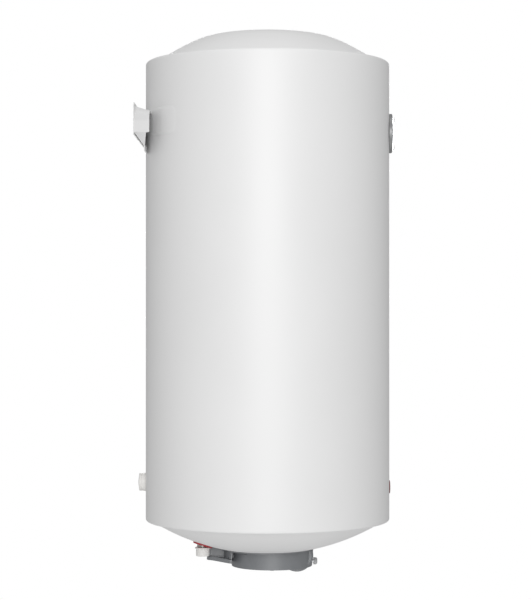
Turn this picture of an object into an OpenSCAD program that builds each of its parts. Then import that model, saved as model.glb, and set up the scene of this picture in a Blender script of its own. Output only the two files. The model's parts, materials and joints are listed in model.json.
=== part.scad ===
// Wall-hung electric storage water heater, 100 litre class, upright round body.
// Millimetres. +Z is up, the front faces -Y, and the wall is the plane Y = 0.
// The origin lies on the wall plane, midway between the two hook slots.

/* [Jacket] */
// Outside diameter of the jacket
jacket_d = 445; // [440:1:450]
// Height of the jacket from rim to rim
jacket_h = 834.5; // [820:0.5:850]
// Thickness of the jacket sheet
jacket_t = 0.8; // [0.6:0.1:1]
// Distance from the wall to the back of the jacket
wall_gap = 14; // [14:0.5:16]
// Height of the top rim above the hook slots
rim_above_slots = 113; // [110:1:116]

/* [Top cover] */
// Sheet thickness of the two end covers
cover_t = 1.6; // [1.2:0.2:2]
// Height of the crown above the top rim
crown_h = 55.7; // [54:0.1:57]
// Radius of the flat crown
crown_r = 700; // [650:10:750]
// Slope of the dome where the crown ends, in degrees
crown_end = 8.2; // [7.5:0.1:9]
// Radius of the shoulder round the crown
shoulder_r = 136; // [130:1:142]
// Slope of the dome where the shoulder ends, in degrees
shoulder_end = 25; // [24:0.5:26]
// Radius of the skirt below the shoulder
skirt_r = 405; // [400:1:410]

/* [Bottom cover] */
// Spherical radius of the bottom cover
bottom_r = 400; // [396:1:404]
// Depth of the bottom cover below the bottom rim
bottom_depth = 59.8; // [58:0.1:61]

/* [Tank] */
// Outside radius of the steel tank
tank_r = 200; // [198:0.5:201]
// Wall thickness of the tank
tank_t = 2; // [1.6:0.1:2.4]
// Spherical radius of the tank heads
head_r = 300; // [295:1:305]
// Drop from the jacket's top rim to the top of the tank's straight wall
tank_drop = 45; // [43:1:48]
// Rise from the jacket's bottom rim to the foot of the tank's straight wall
tank_rise = 35; // [34:1:37]

/* [Wall bracket] */
// Half of the bracket's width
bracket_half = 135; // [130:1:138]
// Thickness of the bracket sheet
bracket_t = 2; // [1.8:0.1:2.2]
// Distance between the two hook slots
slot_spacing = 180; // [170:1:190]
// Length of a hook slot
slot_len = 30; // [24:1:34]
// Height of a hook slot
slot_w = 11; // [9:0.5:12]
// Thickness of the strap that wraps the jacket
strap_t = 1.5; // [1.2:0.1:1.8]
// Half of the angle that the strap covers, in degrees
strap_half_angle = 44; // [42:0.5:45]

/* [Water pipes] */
// Outside radius of the pipe thread, half-inch size
thread_r = 10.4; // [10.3:0.05:10.5]
// Radius of the pipe above its thread
pipe_r = 10; // [9.8:0.1:10]
// Bore radius of the pipes
pipe_bore = 7.2; // [6.5:0.1:7.5]
// Distance between the two pipes
pipe_spacing = 100; // [98:1:102]
// Distance of the pipes behind the tank's axis
pipe_back = 117; // [115:1:118]

/* [Dial thermometer] */
// Drop from the jacket's top rim to the dial's centre
gauge_drop = 127.5; // [124:0.5:132]
// Outside radius of the bezel
bezel_r = 36; // [35:0.5:37]
// Travel of the pointer from cold to hot, in degrees
pointer_travel = 240; // [200:10:270]

/* [Pilot lamp] */
// Rise from the bottom rim to the lamp's centre
lamp_rise = 60; // [56:1:66]
// Outside radius of the lamp's bezel
lamp_r = 12; // [11.5:0.5:12.5]

/* [Flange] */
// Outside radius of the flange plate
flange_r = 64; // [63:0.5:64]
// Pitch circle radius of the flange bolts
flange_pitch_r = 55; // [54.5:0.5:55.5]
// Number of flange bolts
flange_bolt_count = 5; // [5]
// Length of the heating element above the plate
element_len = 320; // [260:10:360]
// Length of the anode above the plate
anode_len = 230; // [180:10:300]

/* [Terminal cover] */
// Wall thickness of the moulded cover
wall_t = 2.5; // [2.2:0.1:2.6]
// Radius of the upper skirt at its foot
skirt_foot_r = 85; // [84:0.5:86]
// Radius of the skirt where it meets the bottom cover
skirt_top_r = 92; // [91:0.5:93]
// Radius of the lower bowl
bowl_r = 75; // [74:0.5:76]
// Distance of the bowl's centre in front of the tank's axis
bowl_front = 8; // [7:0.5:9]
// Depth of the bowl's floor below the bottom rim
bowl_depth = 83; // [82.5:0.5:84]
// Radius of the chin that houses the thermostat
chin_r = 30; // [29:0.5:31]
// Diameter of the control knob
knob_d = 13; // [12:0.5:14]

/* [Hidden] */
$fn = 96;

enamel_white = "#f4f4f2";
cap_white = "#f0f0ee";
cover_grey = "#77787b";
knob_grey = "#a9aaad";
steel = "#b9bcc0";
dark_steel = "#6d6a68";

jacket_r = jacket_d / 2;
jacket_in = jacket_r - jacket_t;
axis_y = -(jacket_r + wall_gap);
z_top = rim_above_slots;
z_bot = z_top - jacket_h;
gap = 0.3;                      // air left between pieces that only rest on each other

rim_fillet_top = 5;
rim_fillet_bot = 4;
rim_lip_top = 204.6;             // inner radius of the top rim's turned-in lip
rim_lip_bot = 211.5;

// Tangent arcs of the top cover, from its axis outwards.
crown_c = [0, z_top + crown_h - crown_r];
crown_p = crown_c + crown_r * [sin(crown_end), cos(crown_end)];
shoulder_c = crown_p - shoulder_r * [sin(crown_end), cos(crown_end)];
shoulder_p = shoulder_c + shoulder_r * [sin(shoulder_end), cos(shoulder_end)];
skirt_c = shoulder_p - skirt_r * [sin(shoulder_end), cos(shoulder_end)];
skirt_end = acos((z_top - 2.4 - skirt_c[1]) / skirt_r);
top_flange_r = 214;
flange_top = z_top - jacket_t - gap;
flange_foot = flange_top - cover_t;

bottom_c = z_bot - bottom_depth + bottom_r;     // height of the bottom cover's centre
bottom_flange_r = 217;

tank_top = z_top - tank_drop;
tank_bot = z_bot + tank_rise;
tank_in = tank_r - tank_t;
head_base = sqrt(head_r * head_r - tank_r * tank_r);

plate_t = 4;
gasket_t = 3;
neck_in = 45;
neck_out = 66;
neck_top = z_bot - 30;
neck_foot = z_bot - 46;
plate_top = neck_foot - gasket_t;
plate_foot = plate_top - plate_t;
opening_r = 72;                 // opening in the bottom cover and the foam round the flange
bolt_r = 3;

wall_y = jacket_r + wall_gap;   // the wall plane, measured from the tank's axis
strap_z = [-28, 22.5];
strap_bolt_angles = [-16, -8, 8, 16];
strap_bolt_z = -2.5;
bracket_seat = jacket_r + strap_t + 0.2;

spacer_z = z_bot + 69;
gauge_z = z_top - gauge_drop;
lamp_z = z_bot + lamp_rise;

cap_top = z_bot - 44;
cap_foot = z_bot - 60;
pipe_end = z_bot - 57.2;

spindle_z = z_bot - 75.5;
gland_z = z_bot - 55;
tongue_back = 111;
step_depth = 53;
rear_depth = 66;                // depth of the cover's rear step and tongue
step_front = 64;                // where the rear step begins behind the bowl
ledge_t = 6.8;
ledge_slope = 6;

element_x = 20;
well_y = -24;
anode_y = 28;
cutout_xy = [-30, 28];
earth_xy = [34, -18];
post_x = 56;
post_y = -8;

function arc(c, r, from, to, n) =
    [for (i = [0:n]) c + r * [sin(from + (to - from) * i / n), cos(from + (to - from) * i / n)]];
function flip(list) = [for (i = [len(list) - 1:-1:0]) list[i]];

// Top cover's outline, moved inwards by g.
function top_outline(g, end = skirt_end) = concat(
    arc(crown_c, crown_r - g, 0, crown_end, 6),
    arc(shoulder_c, shoulder_r - g, crown_end + 2, shoulder_end, 8),
    arc(skirt_c, skirt_r - g, shoulder_end + 1, end, 8));
// The skirt's slope where it comes down to height z.
function skirt_slope(z, g) = acos((z - skirt_c[1]) / (skirt_r - g));

module at_axis() translate([0, axis_y, 0]) children();
module facing_front(d, z) translate([0, -d, z]) rotate([90, 0, 0]) children();
module facing_back(d, z) translate([0, d, z]) rotate([-90, 0, 0]) children();
module facing_angle(a, d, z) rotate([0, 0, -a]) facing_back(d, z) children();

// A round rod that follows a list of points.
module rod(points, r, n = 24) {
    for (i = [0:len(points) - 2]) {
        step = points[i + 1] - points[i];
        reach = norm(step);
        translate(points[i])
            rotate([0, acos(step[2] / reach), atan2(step[1], step[0])])
                cylinder(r = r, h = reach, $fn = n);
    }
    if (len(points) > 2)
        for (i = [1:len(points) - 2])
            translate(points[i]) rotate([20, 35, 10]) sphere(r = r * 1.12, $fn = 48);
}

// Outline of a bent sheet of thickness t whose middle line follows the points.
function turn(v) = [-v[1], v[0]] / norm(v);
function sheet_side(points, t) = [for (i = [0:len(points) - 1])
    let (before = turn(points[max(i, 1)] - points[max(i, 1) - 1]),
         last = len(points) - 1,
         after = turn(points[min(i, last - 1) + 1] - points[min(i, last - 1)]),
         mean = before + after)
    points[i] + mean * t / (mean * mean)];
module sheet2d(points, t) polygon(concat(sheet_side(points, t), flip(sheet_side(points, -t))));

module hexagon(across, h) cylinder(r = across / sqrt(3), h = h, $fn = 6);

// ---------------------------------------------------------------- casing

module jacket_section() {
    top_c = [jacket_r - rim_fillet_top, z_top - rim_fillet_top];
    bot_c = [jacket_r - rim_fillet_bot, z_bot + rim_fillet_bot];
    polygon(concat(
        [[rim_lip_top, z_top]],
        arc(top_c, rim_fillet_top, 0, 90, 6),
        arc(bot_c, rim_fillet_bot, 90, 180, 6),
        [[rim_lip_bot, z_bot], [rim_lip_bot, z_bot + jacket_t]],
        arc(bot_c, rim_fillet_bot - jacket_t, 180, 90, 6),
        arc(top_c, rim_fillet_top - jacket_t, 90, 0, 6),
        [[rim_lip_top, z_top - jacket_t]]));
}

// Folded seam of the jacket sheet, in two lengths above and below the bracket.
module jacket_seam() {
    for (span = [[z_bot + 6, -62], [26, z_top - 7]])
        rotate([0, 0, 81]) translate([0, 0, span[0]])
            rotate_extrude(angle = 2, $fn = 180)
                translate([jacket_r - 0.2, 0]) square([1, span[1] - span[0]]);
}

module jacket() color(enamel_white) at_axis() difference() {
    union() {
        rotate_extrude($fn = 180) jacket_section();
        jacket_seam();
    }
    facing_front(jacket_r - 20, gauge_z) cylinder(r = 31, h = 40);
    facing_front(jacket_r - 20, lamp_z) cylinder(r = 9.3, h = 40);
    facing_back(jacket_r - 20, spacer_z) cylinder(r = 2.7, h = 40);
    for (a = strap_bolt_angles)
        facing_angle(a, jacket_r - 20, strap_bolt_z) cylinder(r = 4.3, h = 40);
}

module top_cover() color(enamel_white) at_axis() rotate_extrude($fn = 180)
    polygon(concat(top_outline(0, skirt_slope(flange_top, 0)),
        [[top_flange_r, flange_top], [top_flange_r, flange_foot]],
        flip(top_outline(cover_t, skirt_slope(flange_foot, cover_t)))));

module bottom_cover() color(enamel_white) at_axis() difference() {
    rotate_extrude($fn = 180) {
        intersection() {
            difference() {
                translate([0, bottom_c]) circle(r = bottom_r, $fn = 360);
                translate([0, bottom_c]) circle(r = bottom_r - cover_t, $fn = 360);
            }
            translate([opening_r, z_bot - 70]) square([rim_lip_bot - opening_r - 0.6, 70 + 2.6]);
        }
        translate([207.5, z_bot + jacket_t + gap]) square([bottom_flange_r - 207.5, cover_t]);
    }
    for (side = [-1, 1])
        translate([side * pipe_spacing / 2, pipe_back, z_bot - 60]) cylinder(r = 12, h = 50);
}

// Room that the pipes, dial, lamp and bosses need inside the insulation.
module foam_voids() {
    for (side = [-1, 1])
        translate([side * pipe_spacing / 2, pipe_back, z_bot - 70]) cylinder(r = 12, h = 90);
    facing_front(tank_r - 1, gauge_z) cylinder(r = 31.2, h = 30);
    facing_front(tank_r - 1, lamp_z) cylinder(r = 9.6, h = 30);
    translate([0, -208, gauge_z - 166]) cylinder(r = 5.6, h = 140, $fn = 32);
    translate([-2.4, -204, gauge_z - 166]) cube([4.8, 5, 68]);
    rod(lamp_lead_route(), 2.2);
    facing_back(jacket_r - 20, spacer_z) cylinder(r = 2.8, h = 20, $fn = 32);
    for (a = strap_bolt_angles)
        facing_angle(a, tank_r - 1, strap_bolt_z) cylinder(r = 9.4, h = 30);
}

module foam_insulation() color("#e8d9a0") at_axis() difference() {
    rotate_extrude($fn = 180) difference() {
        union() {
            polygon(concat([[0, z_bot + 6]], top_outline(cover_t + gap), [[jacket_in - 6, z_top - 6],
                [jacket_in - gap, z_top - 8], [jacket_in - gap, z_bot + 8], [jacket_in - 6, z_bot + 6]]));
            intersection() {
                translate([0, bottom_c]) circle(r = bottom_r - cover_t - gap, $fn = 360);
                translate([0, z_bot - 70]) square([206, 76.1]);
            }
        }
        tank_outline2d(gap);
        translate([0, z_bot - 70]) square([opening_r, 60]);
        translate([199, z_top - jacket_t - cover_t - 2 * gap]) square(20);
    }
    foam_voids();
}

// ---------------------------------------------------------------- tank

module head2d(g, base, up) intersection() {
    translate([0, base - up * head_base]) circle(r = head_r + g, $fn = 360);
    translate([0, up > 0 ? base : base - 120]) square([tank_r + g, 120]);
}

module tank_outline2d(g) {
    translate([0, tank_bot]) square([tank_r + g, tank_top - tank_bot]);
    head2d(g, tank_top, 1);
    head2d(g, tank_bot, -1);
}

module tank_shell() color(steel) at_axis() translate([0, 0, tank_bot + 0.1]) difference() {
    cylinder(r = tank_r, h = tank_top - tank_bot - 0.2, $fn = 180);
    translate([0, 0, -1]) cylinder(r = tank_in, h = tank_top - tank_bot + 2, $fn = 180);
}

module tank_head(base, up) rotate_extrude($fn = 180) difference() {
    head2d(0, base, up);
    translate([0, base - up * head_base]) circle(r = head_r - tank_t, $fn = 360);
}

module tank_top_head() color(steel) at_axis() tank_head(tank_top, 1);

module tank_bottom_head() color(steel) at_axis() difference() {
    tank_head(tank_bot, -1);
    translate([0, 0, z_bot - 80]) cylinder(r = neck_out + 0.2, h = 100);
    for (side = [-1, 1])
        translate([side * pipe_spacing / 2, pipe_back, z_bot - 60]) cylinder(r = pipe_r + 0.2, h = 90);
}

module on_flange_circle() for (i = [0:flange_bolt_count - 1])
    rotate([0, 0, 90 + i * 360 / flange_bolt_count]) translate([flange_pitch_r, 0, 0]) children();

module flange_neck() color(dark_steel) at_axis() difference() {
    translate([0, 0, neck_foot]) cylinder(r = neck_out, h = neck_top - neck_foot);
    translate([0, 0, neck_foot - 1]) cylinder(r = neck_in, h = 40);
    on_flange_circle() translate([0, 0, neck_foot - 1]) cylinder(r = bolt_r + 0.1, h = 11, $fn = 32);
}

module bracket_bosses() color(dark_steel) at_axis() difference() {
    for (a = strap_bolt_angles)
        facing_angle(a, tank_r - 2, strap_bolt_z) difference() {
            cylinder(r = 9, h = jacket_in - tank_r + 1.6, $fn = 48);
            translate([0, 0, 5]) cylinder(r = 4, h = 40, $fn = 32);
        }
    translate([0, 0, -60]) cylinder(r = tank_r + 0.15, h = 120, $fn = 180);
    translate([0, 0, -60]) difference() {
        cylinder(r = jacket_r + 20, h = 120, $fn = 180);
        translate([0, 0, -1]) cylinder(r = jacket_in - 0.15, h = 122, $fn = 180);
    }
}

// ---------------------------------------------------------------- wall fixing

module bracket_strap() color(enamel_white) at_axis() difference() {
    rotate([0, 0, 90 - strap_half_angle]) translate([0, 0, strap_z[0]])
        rotate_extrude(angle = 2 * strap_half_angle, $fn = 180)
            translate([jacket_r + 0.1, 0]) square([strap_t, strap_z[1] - strap_z[0]]);
    for (a = strap_bolt_angles)
        facing_angle(a, jacket_r - 20, strap_bolt_z) cylinder(r = 4.3, h = 40);
}

// Section of the bracket, seen along the wall: top flange and lower web with its lip.
module bracket_section() {
    back = wall_y - bracket_t / 2;
    sheet2d([[back, 24.5], [229.6, 20.6], [208.3, 13.4]], bracket_t);
    sheet2d([[back, -21.5], [218, -46], [217.4, -55.6]], bracket_t);
}

// Edge of the bracket seen from the back, from its foot upwards: upright in the middle, leaning in
// above and below. The second value is the distance below the hooks.
bracket_edge = [[bracket_half - 17.2, 56.5], [bracket_half - 1, 24], [bracket_half - 1, 4],
    [bracket_half - 4, -6], [bracket_half - 12, -15.5], [bracket_half - 24.4, -26]];

// Pressed end that closes the bracket between its flange and its web.
module bracket_end() intersection() {
    rotate([-90, 0, 0]) translate([0, 0, 208.3]) linear_extrude(wall_y - 208.3 - 0.6)
        sheet2d(bracket_edge, bracket_t);
    rotate([90, 0, 90]) linear_extrude(bracket_half)
        polygon([[wall_y - 0.6, 24.6], [229.6, 20.8], [208.3, 13.6], [208.3, -24], [214, -25],
            [216.8, -45.8], [218.2, -45.8], [wall_y - 0.6, -21.4]]);
}

// Block with the outline of the bracket, to which the flange and the web are trimmed.
module bracket_outline() rotate([-90, 0, 0]) translate([0, 0, 200]) linear_extrude(40)
    polygon(concat([for (p = bracket_edge) [p[0] + bracket_t / 4, p[1]]],
        flip([for (p = bracket_edge) [-p[0] - bracket_t / 4, p[1]]])));

module hook_slots() for (side = [-1, 1])
    translate([side * slot_spacing / 2, 0, 0]) rotate([-90, 0, 0])
        translate([0, 0, wall_y - 6]) linear_extrude(12) {
            square([slot_len - slot_w, slot_w], center = true);
            for (end = [-1, 1]) translate([end * (slot_len - slot_w) / 2, 0]) circle(d = slot_w);
        }

module wall_bracket() color(enamel_white) at_axis() difference() {
    union() {
        translate([-bracket_half, wall_y - bracket_t, -28]) cube([2 * bracket_half, bracket_t, 56]);
        intersection() {
            translate([-bracket_half, 0, 0]) rotate([90, 0, 90]) linear_extrude(2 * bracket_half)
                bracket_section();
            bracket_outline();
        }
        bracket_end();
        mirror([1, 0, 0]) bracket_end();
    }
    hook_slots();
    translate([0, 0, -80]) cylinder(r = bracket_seat, h = 140, $fn = 180);
}

module bracket_bolts() color(steel) at_axis() for (a = strap_bolt_angles)
    facing_angle(a, jacket_r + strap_t + 0.4, strap_bolt_z) {
        hexagon(13, 5);
        translate([0, 0, -13]) cylinder(r = 3.9, h = 13.5, $fn = 32);
    }

module wall_spacer() color(cap_white) at_axis() difference() {
    facing_back(jacket_r - 3, spacer_z) difference() {
        union() {
            cylinder(r = 16, h = wall_gap + 3 - 1);
            cylinder(r1 = 21, r2 = 16, h = 6);
            intersection() {
                cylinder(r = 16, h = wall_gap + 3);
                translate([0, 0, wall_gap + 3 - 90]) sphere(r = 90, $fn = 180);
            }
        }
        translate([0, 0, -1]) cylinder(r = 2.7, h = 30, $fn = 32);
        translate([0, 0, wall_gap - 1]) cylinder(r = 5.5, h = 10, $fn = 32);
    }
    translate([0, 0, spacer_z - 40]) cylinder(r = jacket_r + 0.15, h = 80, $fn = 180);
}

module spacer_screw() color(steel) at_axis() facing_back(jacket_r - 12, spacer_z) {
    cylinder(r = 2.5, h = 22.5, $fn = 32);
    translate([0, 0, 22.2]) cylinder(r = 4.8, h = 2.4, $fn = 32);
}

// ---------------------------------------------------------------- dial thermometer

module gauge_body() color("#3a3b3d") at_axis() difference() {
    facing_front(206, gauge_z) difference() {
        cylinder(r = 30.6, h = 19.3);
        translate([0, 0, 1.5]) cylinder(r = 28, h = 30);
        translate([0, 0, 15.3]) cylinder(r = 30.1, h = 30);
    }
    translate([0, -208, gauge_z - 60]) cylinder(r = 1.6, h = 40, $fn = 24);
}

module gauge_bezel() color("#8d9094") at_axis() difference() {
    facing_front(jacket_r - 4, gauge_z) difference() {
        rotate_extrude() difference() {
            square([bezel_r, 9.5]);
            translate([bezel_r - 2, 7.5]) difference() {
                square(5);
                circle(r = 2, $fn = 48);
            }
        }
        translate([0, 0, -1]) cylinder(r = 31.5, h = 30);
    }
    translate([0, 0, gauge_z - 60]) cylinder(r = jacket_r + 0.1, h = 120, $fn = 180);
}

module gauge_dial() color("white") at_axis() facing_front(221.4, gauge_z) difference() {
    cylinder(r = 29.9, h = 1);
    translate([0, 0, -1]) cylinder(r = 0.9, h = 4, $fn = 32);
}

module gauge_lens() color("#e8eef0", 0.5) at_axis() facing_front(225.5, gauge_z) difference() {
    union() {
        cylinder(r = 31.3, h = 2.5);
        intersection() {
            cylinder(r = 30.2, h = 8);
            translate([0, 0, 7.3 - 300]) sphere(r = 300, $fn = 180);
        }
    }
    intersection() {
        translate([0, 0, -1]) cylinder(r = 28.8, h = 8);
        translate([0, 0, 5.9 - 300]) sphere(r = 300, $fn = 180);
    }
}

// The pointer rests at the cold end of its scale, down and to the left.
module gauge_pointer() color("#c22a22") at_axis() facing_front(223.3, gauge_z)
    rotate([0, 0, pointer_travel / 2 + 90]) difference() {
        union() {
            cylinder(r = 3.6, h = 1.6, $fn = 48);
            linear_extrude(0.8) polygon([[-8, -1.8], [-8, 1.8], [0, 1.4], [24, 0.4], [24, -0.4], [0, -1.4]]);
        }
        translate([0, 0, -1]) cylinder(r = 0.78, h = 4, $fn = 32);
    }

module gauge_spindle() color("#c9a648") at_axis() facing_front(215.3, gauge_z)
    cylinder(r = 0.76, h = 9.8, $fn = 32);

module gauge_movement() color("#c9a648") at_axis() facing_front(207.6, gauge_z) difference() {
    union() {
        cylinder(r = 12, h = 7);
        translate([-3, -24, 0]) cube([6, 16, 3]);
    }
    translate([0, 0, 5.5]) cylinder(r = 1, h = 4, $fn = 32);
}

module gauge_capillary() color("#b87333") at_axis()
    translate([0, -208, gauge_z - 95]) cylinder(r = 1.2, h = 70.8, $fn = 24);

module gauge_bulb() color("#b87333") at_axis()
    translate([0, -208, gauge_z - 163]) cylinder(r = 3.5, h = 68, $fn = 32);

// Pocket for the bulb, on a foot that is welded to the tank.
module bulb_pocket() color(dark_steel) at_axis() difference() {
    union() {
        translate([0, -208, gauge_z - 165]) cylinder(r = 5.2, h = 66, $fn = 32);
        translate([-2, -204, gauge_z - 165]) cube([4, 3.8, 66]);
    }
    translate([0, -208, gauge_z - 163.5]) cylinder(r = 3.8, h = 70, $fn = 32);
}

// ---------------------------------------------------------------- pilot lamp

module lamp_bezel() color("#4a3b3b") at_axis() difference() {
    facing_front(jacket_r - 1, lamp_z) difference() {
        rotate_extrude() difference() {
            square([lamp_r, 2.6]);
            translate([lamp_r - 1, 1.6]) difference() {
                square(3);
                circle(r = 1, $fn = 32);
            }
        }
        translate([0, 0, -1]) cylinder(r = 9.2, h = 10);
    }
    translate([0, 0, lamp_z - 30]) cylinder(r = jacket_r + 0.1, h = 60, $fn = 720);
}

module lamp_lens() color("#a31616") at_axis() facing_front(jacket_r - 3, lamp_z) intersection() {
    cylinder(r = 9, h = 6);
    translate([0, 0, 5.3 - 40]) sphere(r = 40, $fn = 180);
}

module lamp_body() color("#e6e2d8") at_axis() facing_front(206, lamp_z) difference() {
    cylinder(r = 9, h = jacket_r - 209.2);
    translate([0, -9, 5]) rotate([90, 0, 0]) cylinder(r = 1.7, h = 12, center = true, $fn = 24);
}

// Route of the lamp's lead, down inside the insulation and in under the tank.
function lamp_lead_route() = [
    [0, -211, lamp_z - 4], [0, -211, z_bot + 22], [0, -180, z_bot + 3],
    [0, -90, z_bot - 38], [0, -69, z_bot - 42], [0, -68.5, z_bot - 57]];

module lamp_lead() color("#333333") at_axis() rod(lamp_lead_route(), 1.5);

// ---------------------------------------------------------------- water pipes

module pipe_at(side) at_axis() translate([side * pipe_spacing / 2, pipe_back, 0]) children();

// Pipe with its thread drawn as rings at the foot.
module threaded_pipe(top) {
    pitch = 1.8;
    thread_len = 15;
    difference() {
        union() {
            translate([0, 0, pipe_end]) cylinder(r = thread_r, h = thread_len);
            translate([0, 0, pipe_end]) cylinder(r = pipe_r, h = top - pipe_end);
        }
        translate([0, 0, pipe_end - 1]) cylinder(r = pipe_bore, h = top - pipe_end + 2);
        for (i = [0:4])
            translate([0, 0, pipe_end + thread_len - 1.2 - i * pitch]) rotate_extrude()
                translate([thread_r + 0.35, 0]) rotate(45) square(0.8, center = true);
    }
}

module cold_pipe() color(steel) pipe_at(1) threaded_pipe(z_bot + 60);

module hot_pipe() color(steel) pipe_at(-1) threaded_pipe(z_top - 50);

module cold_diffuser() color("#dfe4e8") pipe_at(1) translate([0, 0, z_bot + 48]) difference() {
    cylinder(r = 14, h = 30);
    translate([0, 0, -1]) cylinder(r = pipe_r + 0.1, h = 13.2);
    translate([0, 0, 12]) cylinder(r = pipe_bore, h = 14);
    for (a = [0:60:120])
        translate([0, 0, 20]) rotate([0, 0, a]) cube([40, 5, 6], center = true);
}

// Coloured collar that lies on the slope of the bottom cover.
module collar(side) at_axis() difference() {
    intersection() {
        translate([side * pipe_spacing / 2, pipe_back, z_bot - 60]) cylinder(r = 17, h = 60);
        translate([0, 0, bottom_c]) sphere(r = bottom_r + 2.8, $fn = 360);
    }
    translate([0, 0, bottom_c]) sphere(r = bottom_r + 0.1, $fn = 360);
    translate([side * pipe_spacing / 2, pipe_back, z_bot - 80]) cylinder(r = pipe_r + 0.3, h = 90);
    translate([side * pipe_spacing / 2, pipe_back, pipe_end]) cylinder(r = thread_r + 0.3, h = 15.5);
    translate([side * pipe_spacing / 2, pipe_back, cap_foot]) cylinder(r = 14.6, h = cap_top - cap_foot + gap);
}

module cold_collar() color("#2b4fa8") collar(1);
module hot_collar() color("#b5353a") collar(-1);

// Push-on transit cap: a cup with a rim at its mouth.
module pipe_cap() translate([0, 0, cap_foot]) difference() {
    rotate_extrude() difference() {
        union() {
            square([12, cap_top - cap_foot]);
            translate([0, cap_top - cap_foot - 2.6]) square([14, 2.6]);
        }
        translate([10.5, 1.5]) rotate(-90) difference() {
            square(4);
            circle(r = 1.5, $fn = 48);
        }
    }
    translate([0, 0, 2]) cylinder(r = thread_r + 0.35, h = 40);
}

module cold_cap() color(cap_white) pipe_at(1) pipe_cap();
module hot_cap() color(cap_white) pipe_at(-1) pipe_cap();

// ---------------------------------------------------------------- flange and heater

module plate_holes() {
    on_flange_circle() translate([0, 0, plate_foot - 1]) cylinder(r = bolt_r + 0.3, h = 12, $fn = 32);
    for (side = [-1, 1])
        translate([side * element_x, 0, plate_foot - 1]) cylinder(r = 4.15, h = 12, $fn = 32);
    translate([0, well_y, plate_foot - 1]) cylinder(r = 6.15, h = 12, $fn = 32);
    translate([0, anode_y, plate_foot - 1]) cylinder(r = 4.15, h = 12, $fn = 32);
}

module flange_gasket() color("#262626") at_axis() difference() {
    translate([0, 0, plate_top + 0.05]) cylinder(r = flange_r - 0.5, h = gasket_t - 0.1);
    translate([0, 0, plate_top - 1]) cylinder(r = neck_in + 1, h = 10);
    on_flange_circle() translate([0, 0, plate_top - 1]) cylinder(r = bolt_r + 0.3, h = 10, $fn = 32);
}

module flange_plate() color(steel) at_axis() difference() {
    translate([0, 0, plate_foot]) cylinder(r = flange_r, h = plate_t);
    plate_holes();
}

module flange_bolts() color("#d9dadb") at_axis() on_flange_circle() {
    translate([0, 0, plate_foot - 4.1]) hexagon(10, 4);
    translate([0, 0, plate_foot - 0.2]) cylinder(r = bolt_r, h = plate_t + gasket_t + 8, $fn = 32);
}

module heating_element() color("#8a5f3c") at_axis() {
    for (side = [-1, 1])
        translate([side * element_x, 0, plate_foot - 2]) cylinder(r = 4, h = element_len, $fn = 32);
    translate([0, 0, plate_foot - 2 + element_len]) rotate([90, 0, 0])
        rotate_extrude(angle = 180, $fn = 72) translate([element_x, 0]) circle(r = 4, $fn = 32);
}

module element_terminals() color(steel) at_axis() for (side = [-1, 1])
    translate([side * element_x, 0, plate_foot - 14]) {
        cylinder(r = 2, h = 11.9, $fn = 32);
        translate([0, 0, 4]) hexagon(7, 3);
    }

module thermowell() color(steel) at_axis() translate([0, well_y, plate_foot - 1]) difference() {
    cylinder(r = 6, h = 280, $fn = 32);
    translate([0, 0, -1]) cylinder(r = 4.8, h = 279, $fn = 32);
}

module anode_rod() color("#9a9a94") at_axis() translate([0, anode_y, plate_top + 20])
    difference() {
        cylinder(r = 11, h = anode_len, $fn = 48);
        translate([0, 0, -1]) cylinder(r = 4, h = 21, $fn = 32);
    }

module anode_stud() color(steel) at_axis() translate([0, anode_y, plate_foot - 10])
    cylinder(r = 3.9, h = 10 + plate_t + 20 + 15, $fn = 32);

module anode_nut() color("#d9dadb") at_axis() translate([0, anode_y, plate_foot - 6.6]) difference() {
    hexagon(13, 6.5);
    translate([0, 0, -1]) cylinder(r = 4, h = 10, $fn = 32);
}

// ---------------------------------------------------------------- controls

stat_front = -72;
stat_back = -47;

module thermostat_body() color("#2c2d30") at_axis() difference() {
    union() {
        translate([-19, stat_front, spindle_z - 5]) cube([38, stat_back - stat_front, 20]);
        translate([0, stat_front + 0.1, spindle_z]) rotate([90, 0, 0]) cylinder(r = 4.6, h = 4, $fn = 48);
    }
    translate([0, stat_front - 5, spindle_z]) rotate([-90, 0, 0]) cylinder(r = 3.05, h = 15, $fn = 48);
}

module thermostat_bulb() color("#b87333") at_axis() translate([0, well_y, plate_foot + 60])
    cylinder(r = 3.2, h = 150, $fn = 32);

module thermostat_capillary() color("#b87333") at_axis() rod([
    [0, well_y, plate_foot + 60], [0, well_y, plate_foot - 10],
    [0, stat_back + 0.2, plate_foot - 10]], 1, 16);

module thermostat_spindle() color(steel) at_axis() translate([0, -86.5, spindle_z])
    rotate([-90, 0, 0]) difference() {
        cylinder(r = 3, h = 22, $fn = 48);
        translate([2, -4, -1]) cube([3, 8, 5]);
    }

// Ribbed control knob with a flat-sided socket.
module thermostat_knob() color(knob_grey) at_axis() translate([0, -91, spindle_z])
    rotate([-90, 0, 0]) difference() {
        rotate_extrude() difference() {
            square([knob_d / 2, 7.2]);
            translate([knob_d / 2 - 3.2, 3.2]) rotate(-90) difference() {
                square(6);
                circle(r = 3.2, $fn = 48);
            }
        }
        for (a = [0:30:330])
            rotate([0, 0, a + 15]) translate([knob_d / 2 + 0.5, 0, 2]) cylinder(r = 0.9, h = 10, $fn = 16);
        translate([0, 0, 4.4]) cylinder(r = 3.1, h = 5, $fn = 48);
        translate([-0.5, 2.4, -1]) cube([1, 6, 2]);
    }

module thermal_cutout() color("#3a332c") at_axis()
    translate([cutout_xy[0], cutout_xy[1], plate_foot - 14]) difference() {
        union() {
            cylinder(r = 9, h = 13.9, $fn = 64);
            for (side = [-1, 1]) translate([side * 7 - 3, -1, -4]) cube([2, 2, 5]);
        }
        translate([0, 0, -1]) cylinder(r = 2.55, h = 7, $fn = 32);
    }

module reset_button() color("#b5261e") at_axis()
    translate([cutout_xy[0], cutout_xy[1], plate_foot - 17]) {
        cylinder(r = 2.5, h = 5.5, $fn = 32);
    }

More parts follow.
